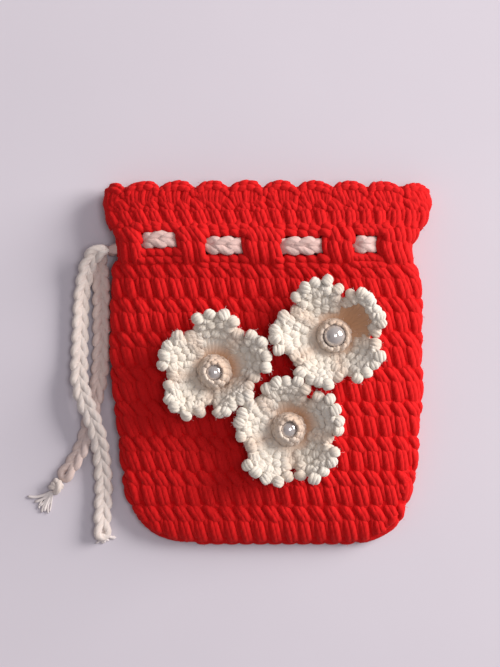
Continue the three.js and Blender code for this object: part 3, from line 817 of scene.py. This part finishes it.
def chain(points, up, roll=0.0, wobble=0.35, free=1.0):
    """One long tube that makes chain stitches along a route. up gives the direction that the chain's face
    looks in, and roll turns it about the cord by that many degrees, back and forth by wobble radians. free
    is 1 where nothing squeezes the chain and less where it is narrower."""
    route, distance, along = even_route(points)
    facing = smooth_route(np.broadcast_to(up, np.shape(points)).astype(float)[None], 16)[0]
    share = smooth_route(np.broadcast_to(free, len(points))[None, :, None], 16)[0]
    links = max(int((distance[-1] - 0.8 * LINK) / LINK), 2)
    pitch = distance[-1] / (links + 0.6)
    # The last two points would start a link that has no next one.
    s = (np.arange(links)[:, None] + CHAIN_LINK[:, 0]).ravel()[:-2] * pitch
    across = np.tile(CHAIN_LINK[:, 1], links)[:-2] * (CORD_WIDTH - CHAIN_YARN) / 2
    above = np.tile(CHAIN_LINK[:, 2], links)[:-2] * (CHAIN_THICKNESS - CHAIN_YARN) / 2
    across = across * np.interp(s, distance, share[:, 0])
    way = unit(at_distance(s, distance, along))
    side = unit(np.cross(way, at_distance(s, distance, facing)))
    face = np.cross(side, way)
    turn = (np.radians(roll) + wobble * np.sin(s / WOBBLE_OVER))[:, None]
    tilt_side = side * np.cos(turn) + face * np.sin(turn)
    tilt_face = face * np.cos(turn) - side * np.sin(turn)
    line = at_distance(s, distance, route) + tilt_side * across[:, None] + tilt_face * above[:, None]
    return tubes(line[None], tilt_face[None], *CHAIN_TUBE), distance[-1]

# %% [markdown]
# The woven stretch shows at the eyelets and hides inside the bag between them. Its route repeats the
# part's: just below the skin at an eyelet, a cord's half thickness inside the wall elsewhere.

# %% Woven stretch
SQUEEZED = 0.35  # width that the stitches over the cord leave it, as a share
SHOWN = {1: 0.5, -1: -0.2}  # how far below the skin the cord's face lies in an eyelet, front and back


def woven_line(side):
    """Middle of the cord along the front (1) or the back (-1), between its wall-deep and shown levels."""
    q = front_q(np.linspace(-0.86, 0.83, 47))
    q = q if side > 0 else 4 - q
    x = wall_point(q, CORD_LINE - BAG_BOTTOM + 0 * q, WALL)[:, 0]
    y = cord_height(x)
    inside = wall_point(q, y - BAG_BOTTOM, WALL)[:, 2] - side * (GAP + CORD_THICKNESS / 2)
    skin = wall_point(q, y - BAG_BOTTOM, 0)[:, 2] - side * (CORD_THICKNESS / 2 - SHOWN[side])
    share = at_eyelet(x, soft=5.4, short=1.2, ease=EYELET_EASE)
    return np.stack([x, y, skin * share + inside * (1 - share)], axis=-1)


FRONT_EXIT = (-47.6, 33.6, 6.9)
BACK_EXIT = (-47.6, 33.6, 3.4)
front_line, back_line = woven_line(1), woven_line(-1)
# Round the right fold the cord makes half a turn, and its face looks outwards all the way.
BEND_FACING = [(0.5, 0, 0.87), (0.94, 0, 0.34), (0.94, 0, -0.34), (0.5, 0, -0.87)]
bend_angle = np.radians([60, 20, -20, -60])[:, None]
bend_way = np.cos(bend_angle) * (1, 0, 0) + np.sin(bend_angle) * (0, 0, 1)
bend_middle = (front_line[-1] + back_line[-1]) / 2 + (0.6, 0, 0)
bend = bend_middle + (front_line[-1, 2] - back_line[-1, 2]) / 2 * bend_way
stub = np.array([(0, 0, 0), (1.2, 0, 0)]) + (GAP, 0, 0)
woven_points = np.concatenate([FRONT_EXIT + stub, front_line, bend, back_line[::-1],
                               (BACK_EXIT + stub)[::-1]])
run = 2 + len(front_line)
facing = np.concatenate([np.tile(UP, (run, 1)), BEND_FACING, np.tile(-UP, (run, 1))])
free = at_eyelet(woven_points[:, 0], soft=3.6, short=1.2, ease=EYELET_EASE)
free = SQUEEZED + (1 - SQUEEZED) * free
woven_tube, woven_length = chain(woven_points, facing, wobble=0.2, free=free)
# Painted red bounce light and shade on the woven stretch: half of the cord's warm tint
woven_tube["depth"][:] = 0.5  # the red bag round it tints it
yarn_piece("woven_drawstring", [woven_tube], cord_yarn, "drawstring")
print("woven stretch:", round(woven_length), "mm")

# %% [markdown]
# The two free ends lie on the table beside the bag. The front one crosses over the back one and ends
# blunt. The back one ends in a small knot, and beyond it the yarn has come apart into its plies.

# %% Free ends
FRONT_TAIL = [FRONT_EXIT, (-49.2, 33.6, 6.8), (-51.6, 32.4, 6.0), (-53.6, 29.6, 4.6), (-55.0, 25.0, 3.0),
              (-56.0, 19.0, 2.1), (-56.4, 10.0, 1.9), (-56.6, 1.0, 2.4), (-56.4, -5.4, 4.0),
              (-55.0, -11.0, 5.0), (-52.9, -16.0, 5.3), (-51.0, -21.4, 4.8), (-49.8, -29.0, 2.6),
              (-49.3, -38.0, 1.9), (-49.7, -46.0, 1.9), (-49.7, -53.0, 1.9)]
BACK_TAIL = [BACK_EXIT, (-49.2, 33.6, 3.4), (-50.8, 30.8, 2.6), (-50.0, 24.0, 1.9), (-49.9, 14.0, 1.7),
             (-49.9, 4.0, 1.7), (-50.7, -5.4, 1.7), (-51.9, -11.4, 1.7), (-53.4, -17.6, 1.7),
             (-54.9, -23.4, 1.7), (-56.8, -27.8, 1.7), (-59.3, -31.8, 1.7), (-61.7, -35.0, 1.7)]

front_tube, front_length = chain(FRONT_TAIL, UP, roll=12)
back_tube, back_length = chain(BACK_TAIL, UP, roll=-14)
# Painted shade on the back free end: a quarter of the cord's warm tint
back_tube["depth"][:] = 0.25  # it lies in the bag's shade
front_tail = yarn_piece("front_free_end", [front_tube], cord_yarn, "drawstring_tail_front")
back_tail = yarn_piece("back_free_end", [back_tube], cord_yarn, "drawstring_tail_back")


PLY_REST = 0.35  # height of a ply's middle where it lies on the table


def loose_plies(start, way, count, length, spread, thick):
    """Thin plies that fan out from one place and droop to the table."""
    angles = np.arctan2(way[1], way[0]) + spread * np.linspace(-1, 1, count) + rng.normal(0, 0.12, count)
    t = np.linspace(0, 1, 6)
    reach = (length * rng.uniform(0.65, 1.0, count))[:, None] * t
    bow = rng.normal(0, 0.35, count)[:, None] * t**2
    x = start[0] + reach * np.cos(angles[:, None] + bow)
    y = start[1] + reach * np.sin(angles[:, None] + bow)
    z = PLY_REST + (start[2] - PLY_REST) * (1 - t) ** 2 + np.abs(rng.normal(0, 0.12, count))[:, None] * t
    return tubes(np.stack([x, y, z], axis=-1), UP, thick, thick, 5, 2)


KNOT_TURNS = 2.6
knot_way = unit(np.array(BACK_TAIL[-1]) - np.array(BACK_TAIL[-2]))
knot_side = unit(np.cross(UP, knot_way))
knot_place = np.array(BACK_TAIL[-1]) + knot_way * 2.8 + (0, 0, 0.25)
knot_axes = [knot_way, knot_side, UP]
turns = np.linspace(0, 2 * np.pi * KNOT_TURNS, 34)
wrap = knot_place + np.stack([np.linspace(-1.3, 1.3, 34) + 0.25 * np.sin(turns * 1.7),
                              1.25 * np.cos(turns), 1.05 * np.sin(turns)], axis=-1) @ knot_axes
# The end crosses over the turns. Columns: along, beside, up
KNOT_CROSS = np.array([(-1.9, -0.5, 0.2), (-0.8, 0.3, 1.55), (0.4, 0.9, 1.45), (1.6, 0.9, 0.5),
                       (2.2, 0.4, -0.3)])
band = knot_place + KNOT_CROSS @ knot_axes
knot = yarn_piece("end_knot", [tubes(wrap[None], UP, 1.7, 1.6, 8, 2), tubes(band[None], UP, 1.9, 1.7, 8, 3)],
                  cord_yarn, "drawstring_knot")
knot_plies = [loose_plies(knot_place + knot_way * 1.9, knot_way, 6, 9.0, 0.3, 0.95),
              loose_plies(knot_place + knot_way * 2.2, knot_way, 7, 7.5, 0.5, 0.6)]
knot_fray = yarn_piece("frayed_yarn", knot_plies, loose_fibres_painted_light)
blunt_plies = [loose_plies((-49.7, -50.2, 1.9), (0, -1, 0), 9, 5.0, 0.35, 1.2),
               loose_plies((-49.7, -51.4, 1.6), (0, -1, 0), 8, 4.2, 0.6, 0.6)]
blunt_fray = yarn_piece("blunt_end_fray", blunt_plies, loose_fibres_painted_light)
front_halo = fuzz("front_end_fibres", [front_tail], 500, loose_fibres_painted_light)
back_halo = fuzz("back_end_fibres", [back_tail], 400, loose_fibres_painted_light)
print("free ends:", round(front_length), "and", round(back_length), "mm")

# %% [markdown]
# ## The flowers
# Each flower is worked from its middle: a small ring of stitches that grips the bead, then five petals of
# tall stitches that crowd each other, so the petals cup and their edges ruffle. Little knobs of yarn cover
# the edge and most of each petal. Strands are placed by how far out they are, in which direction, and how
# high above the bag.

# %% Where a flower's strands go
BEAD_RADIUS = 3.5
FLOWER_RADIUS = 16.6
PETAL_RISE = 8.6
NOTCH_SHARE = 0.72
NOTCH_DROP = 0.42
CUP_FOOT = 4.6  # where the petals start beside the ring
# Each flower: place as shares of half the mouth and of half the height, degrees by which the ring closes
# over its bead, and for each petal its direction, its reach and whether it opens into a wide smooth cup.
FLOWERS = {
    "left": (-0.321, -0.052, 44,
             [(25, 1.12, 0), (89, 1.15, 0), (155, 1.06, 0), (217, 1.04, 0), (306, 0.73, 0)]),
    "right": (0.398, 0.144, 18,
              [(36, 0.98, 1), (117, 1.12, 0), (178, 1.19, 0), (245, 0.97, 0), (318, 0.97, 0)]),
    "low": (0.126, -0.359, 44,
            [(19, 1.0, 0), (98, 0.97, 0), (166, 1.0, 0), (237, 1.08, 0), (316, 1.07, 0)]),
}


def petal_edge(petals, degrees):
    """Reach and height of a flower's edge in a direction, from how near it is to the nearest petal's
    middle compared with the second nearest."""
    towards = np.array([p[0] for p in petals])
    reaches = np.array([p[1] for p in petals])
    away = np.abs(np.mod(np.asarray(degrees)[..., None] - towards + 540, 360) - 180)
    order = np.argsort(away, axis=-1)
    near = np.take_along_axis(away, order[..., :1], -1)[..., 0]
    second = np.take_along_axis(away, order[..., 1:2], -1)[..., 0]
    share = smooth((second - near) / (0.62 * (second + near)))
    to_second = near / (near + second)
    reach = reaches[order[..., 0]] * (1 - to_second) + reaches[order[..., 1]] * to_second
    return (FLOWER_RADIUS * reach * (NOTCH_SHARE + (1 - NOTCH_SHARE) * share),
            PETAL_RISE * (1 - NOTCH_DROP * (1 - share)))


def front_skin(x, y):
    """Height of the bag's front under a place."""
    height = y - BAG_BOTTOM
    return wall_point(front_q(x / (half_share(x, height / BAG_HEIGHT) * HALF_MOUTH)), height, 0)[..., 2]


def flower_point(middle, degrees, out, above):
    """Point of a flower so far out in a direction and so far above the bag's front."""
    angle = np.radians(degrees)
    x = middle[0] + out * np.cos(angle)
    y = middle[1] + out * np.sin(angle)
    return np.stack([x, y, front_skin(x, y) + above], axis=-1)


def cup(petals, degrees, share):
    """Out and above of the cupped sheet of the petals: share is 0 at the ring and 1 at the edge."""
    reach, rise = petal_edge(petals, degrees)
    out = CUP_FOOT + (reach - 1.3 - CUP_FOOT) * share
    above = 0.9 + (rise - 2.0) * (0.3 * share + 0.7 * share**2)
    return out, above

# %% Strands of a flower
def knobs(middle, petals, degrees, share, raised, leaning, size):
    """Small knobs of yarn on a flower: each is three arcs side by side over a ball. They sit at a share of
    the way from the ring to the edge, raised above the cupped sheet, and leaning is how far a knob's top
    turns from straight up to the outside, in degrees."""
    out, above = cup(petals, degrees, share)
    angle = np.radians(degrees)
    out_way = np.stack([np.cos(angle), np.sin(angle), 0 * angle], axis=-1)
    round_way = np.cross(UP, out_way)
    count = len(degrees)
    lean = np.radians(leaning + rng.normal(0, 14, count))[:, None]
    pole = np.cos(lean) * UP + np.sin(lean) * out_way
    places = flower_point(middle, degrees, out, above) + raised * pole
    swing = rng.uniform(0, np.pi, count)[:, None]
    other = np.cross(pole, round_way)
    axis = np.cos(swing) * round_way + np.sin(swing) * other
    beside = np.cross(pole, axis)
    scale = (size * rng.uniform(0.88, 1.12, count))[:, None, None]
    bend = np.radians(np.linspace(-112, 112, 7))[None, :, None]
    facing = beside[:, None] * np.sin(bend) + pole[:, None] * np.cos(bend)
    parts = []
    for row in (-1, 0, 1):
        radius = (1.0 if row == 0 else 0.85) * rng.uniform(0.95, 1.05, count)[:, None, None]
        slide = 0.68 * row + 0.12 * np.sin(bend * 2 + row)
        arc = places[:, None] + scale * (axis[:, None] * slide + radius * facing)
        parts.append(tubes(arc, facing, 1.75 * size, 1.6 * size, 7, 2))
    return parts


WINDOW_AT = 40  # degrees
# The warm tint of the flowers is painted shade and bounce light.
PAINTED_SHADE_FADE = 5  # mm over which the warm tint of a flower fades
# Millimetres from a flower's middle to where the painted shade and bounce tint ends
PAINTED_SHADE_END = {"wide petal": 15.5, "petal": 10.0, "knobs": 8.5, "sheet": 12.0}


def out_of_the_sun(degrees):
    """How little of the window's light a cup's inside gets: 1 on the side next to the window, which turns
    its back to it, and 0.15 on the far side."""
    return 0.15 + 0.425 * (1 + np.cos(np.radians(degrees - WINDOW_AT)))


def with_painted_shade(part, middle, petals, far):
    """The part with its share of painted shade and bounce tint, which falls smoothly to 0 at the distance
    far from the flower's middle and is larger where the cup's inside turns its back to the window. Between
    two petals it stays at 0.3."""
    away = part["vertices"][:, :2] - middle
    degrees = np.degrees(np.arctan2(away[:, 1], away[:, 0]))
    sunk = (1 - petal_edge(petals, degrees)[1] / PETAL_RISE) / NOTCH_DROP
    deep = smooth((far - np.linalg.norm(away, axis=1)) / PAINTED_SHADE_FADE) * out_of_the_sun(degrees)
    return {**part, "depth": np.maximum(deep, 0.3 * sunk)}


# Rows of knobs on a petal, towards the ring. Columns: degrees from the petal's middle to the first and the
# last knob, how many, share of the way out, raised, leaning, size
WIDE_PETAL = [(-24, 32, 8, 0.85, 0.2, -10, 1.0)]
PETAL = [(-28, 28, 6, 0.76, 0.5, -15, 1.05), (-26, 26, 5, 0.56, 0.4, -30, 1.0)]
SUNLIT_PETAL = [*PETAL, (-27, 27, 4, 0.36, 0.45, -30, 0.95)]
POST_TUBE = (2.9, 1.6, 8, 2)
RING_TUBE = (1.5, 1.2, 7, 2)
RING_RADIUS = 4.05
RING_STITCH = 2.0
RING_LEVELS = (-1.8, -0.9, 0.0, 0.35, 0.68, 1.0)  # below the bead's middle, and shares of the way to its top


def flower_strands(middle, cover, petals):
    """All strands of one flower: posts of the petals, rows of knobs on them, and the ring."""
    parts = []
    for number, (towards, _, wide) in enumerate(petals):
        before = (petals[number - 1][0] - towards) % -360 / 2
        after = (petals[(number + 1) % len(petals)][0] - towards) % 360 / 2
        share = np.linspace(0, 1, 6)
        degrees = towards + np.linspace(before + 4, after - 4, 8)[:, None] + 0 * share
        for face in (1, -1):
            out, above = cup(petals, degrees, share + 0 * degrees)
            bulge = face * np.array([0.5, 0.45, 0.45, 0.5, 0.45, 0.0])
            post = flower_point(middle, degrees, out - 0.5 * bulge, above + bulge)
            # Painted shade and bounce tint on the posts, deep in the cup
            far = PAINTED_SHADE_END["wide petal" if wide else "petal"]
            parts.append(with_painted_shade(tubes(post, UP, *POST_TUBE), middle, petals, far))
        # The edge and under it, then more rows towards the ring. Petals next to the window are bare there.
        across = np.linspace(-1, 1, 8 if wide else 6)
        edge = towards + 31 * across + rng.normal(0, 1.5, len(across))
        knob_parts = knobs(middle, petals, edge, 0.93 + 0.16 * across**2, 0.0, 15, 1.0 if wide else 1.1)
        knob_parts += knobs(middle, petals, edge + 5, 0.9, -1.6, 80, 1.05)
        inner = WIDE_PETAL if wide else SUNLIT_PETAL if out_of_the_sun(towards) < 0.7 else PETAL
        for first, last, count, *form in inner:
            knob_parts += knobs(middle, petals, towards + np.linspace(first, last, count), *form)
        # Painted shade and bounce tint on the knobs near the ring
        parts += [with_painted_shade(part, middle, petals, PAINTED_SHADE_END["knobs"]) for part in knob_parts]
    # The ring that holds the bead: rounds of slanting strands from its foot up and over towards the bead
    close = np.radians(cover)
    bead = GAP + BEAD_RADIUS
    for level in RING_LEVELS:
        climb = max(level, 0) * close
        ring_out = RING_RADIUS * np.cos(climb) - 0.45 * min(level, 0)
        ring_up = bead + 4.2 * np.sin(climb) + 1.2 * min(level, 0)
        number = max(round(2 * np.pi * ring_out / RING_STITCH), 8)
        around = (np.arange(number) * 360 / number + 9 * level)[:, None]
        around = around + np.linspace(-1, 1, 5) * 210 / number
        weave = np.array([-0.35, 0.05, 0.15, 0.05, -0.35]) + rng.normal(0, 0.12, (number, 1))
        ring = flower_point(middle, around, ring_out + weave * np.cos(climb), ring_up
                            + weave * np.sin(climb) + np.linspace(-0.35, 0.35, 5))
        angle = np.radians(around)
        facing = np.stack([np.cos(angle) * np.cos(climb), np.sin(angle) * np.cos(climb),
                           np.sin(climb) + 0.1 + 0 * angle], axis=-1)
        # Painted shade and bounce tint on the ring, larger on the side next to the window
        ring_painted_shade = 0.2 + 0.3 * out_of_the_sun(around[:, 2])
        parts.append(tubes(ring, facing, *RING_TUBE, painted_shade_share=ring_painted_shade))
    return parts


def cup_sheet(name, middle, petals, stands_for):
    """The closed sheet behind a flower's strands, from a small foot to the petals' edge."""
    degrees = np.linspace(0, 360, 121)[:-1]
    grid_degrees, grid_share = np.meshgrid(degrees, np.linspace(0, 0.97, 12))
    out, above = cup(petals, grid_degrees, grid_share)
    foot = flower_point(middle, degrees, 0 * degrees + 1.5, 0 * degrees + 0.9)
    points = np.concatenate([foot[None], flower_point(middle, grid_degrees, out, above)])
    away = np.linalg.norm(points[..., :2] - middle, axis=-1)
    # Painted shade and bounce tint deep in the cup, larger on the side next to the window
    deep = smooth((PAINTED_SHADE_END["sheet"] - away) / PAINTED_SHADE_FADE) * out_of_the_sun(degrees)
    faces = closed_grid(*points.shape[:2])[:1]
    thicken(mesh_piece(name, points.reshape(-1, 3) * MM, faces, cream_yarn, stands_for,
                       depth=deep.ravel()), 1.1)

# %% [markdown]
# ## The pearl beads
# Acrylic beads with a pearl coat: a milky body under a clear skin. The body scatters light softly, and the
# coat mirrors the window as one bright spot.

# %% Pearl material and bead
pearl = finished(*new_material("pearl_coated_acrylic"), {
    "Base Color": linear("#cbc2bd"), "Roughness": 0.14, "Metallic": 0.5, "IOR": 1.55,
    "Coat Weight": 1.0, "Coat Roughness": 0.03, "Coat IOR": 1.7, "Subsurface Weight": 0.2,
    "Subsurface Scale": 1.2 * MM, "Subsurface Radius": (1.0, 0.8, 0.7)})


def bead_piece(name, place, stands_for):
    """A round bead: latitude by longitude on a sphere, closed by a point at each pole."""
    rows, columns = 30, 48
    latitude = np.linspace(-90, 90, rows + 2)[1:-1]
    longitude = np.linspace(0, 360, columns + 1)[:-1]
    b, a = np.meshgrid(np.radians(latitude), np.radians(longitude), indexing="ij")
    ball = np.stack([np.cos(b) * np.cos(a), np.cos(b) * np.sin(a), np.sin(b)], axis=-1).reshape(-1, 3)
    vertices = np.concatenate([ball, [-UP, UP]]) * BEAD_RADIUS + place
    faces = [flipped(group) for group in closed_grid(rows, columns)]
    mesh_piece(name, vertices * MM, faces, pearl, stands_for)

# %% Place the flowers and their beads
for name, (x_share, y_share, cover, petals) in FLOWERS.items():
    middle = np.array([x_share * HALF_MOUTH, y_share * BAG_HEIGHT / 2])
    flower = f"flower_{name}"
    parts = flower_strands(middle, cover, petals)
    strands = yarn_piece(f"petals_{name}", parts, cream_yarn, flower)
    cup_sheet(f"petal_backs_{name}", middle, petals, flower)
    fuzz(f"petal_fibres_{name}", [strands], 2100, loose_fibres_painted_light, flower)
    level = front_skin(*middle) + GAP + BEAD_RADIUS
    bead_piece(f"bead_{name}", (*middle, level), f"pearl_{name}")

# %% [markdown]
# ## Loose fibres on the bag
# Soft yarn is never clean: some fibres work loose all over it. They blur its outline against the table.

# %% Fibres on the red yarn
# These fibres are a lighter red than the yarn, a painted light.
fuzz("bag_fibres", red_pieces, 620, red_fibres_painted_light, "pouch_body")

# %% [markdown]
# ## The table
# A pale lavender-white sheet of matt paper, only there to catch the shadows.

# %% Table
def staged_plane(name, size, place, material):
    """A square sheet that only sets the stage."""
    bpy.ops.mesh.primitive_plane_add(size=size, location=place)
    plane = bpy.context.object
    plane.name = name
    plane.data.materials.append(material)
    return plane


paper, tree = new_material("matt_paper")
mottle = noise(tree, add(tree, "ShaderNodeTexCoord").outputs["Object"], 60 * MM, 3.0)
finished(paper, tree, {"Base Color": blend(tree, mottle, linear("#cdc6cd"), linear("#d3ccd3"), "RGBA"),
                       "Roughness": 0.8, "Specular IOR Level": 0.2})
staged_plane("table", 3, (0, 0, 0), paper)

# A dark card beside the camera, which only the beads mirror
dark = finished(*new_material("dark_card"), {"Color": linear("#2a2628")}, "ShaderNodeBsdfDiffuse")
card = staged_plane("dark_card", 0.15, (-0.23, -0.03, 0.20), dark)
card.visible_camera = False
card.visible_diffuse = False
card.visible_shadow = False
